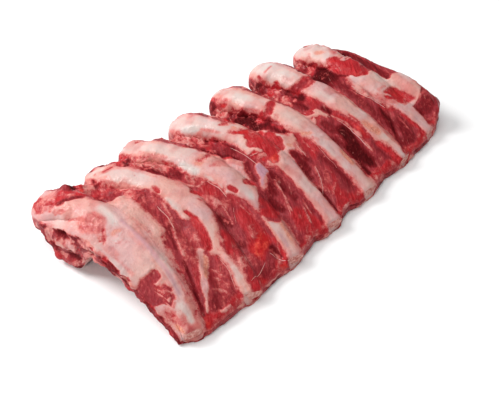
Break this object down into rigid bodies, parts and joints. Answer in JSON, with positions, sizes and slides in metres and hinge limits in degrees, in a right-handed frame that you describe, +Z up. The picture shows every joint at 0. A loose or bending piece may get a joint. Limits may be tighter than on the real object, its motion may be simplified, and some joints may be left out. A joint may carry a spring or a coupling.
{
  "type": "rack of beef back ribs",
  "caption": "Raw beef back ribs: an arched slab of rib meat with long curved bones, rounded heads along one edge and sawn ends along the other.",
  "frame": {"origin": "middle of the bottom of the rack's box, on the surface that it lies on", "axes": "+X along the rack, from the first rib to the seventh; +Y towards the rib heads; +Z up"},
  "size_m": [0.3658, 0.1926, 0.0512],
  "materials": {
    "rib_meat": "raw beef, moist, dark red lean with pale seams of fat",
    "bone": "bone under its pale pink skin, moist"
  },
  "bodies": {
    "root": {"meat": "rib_meat", "rib_1": "bone", "rib_2": "bone", "rib_3": "bone", "rib_4": "bone", "rib_5": "bone", "rib_6": "bone", "rib_7": "bone"}
  },
  "joints": []
}
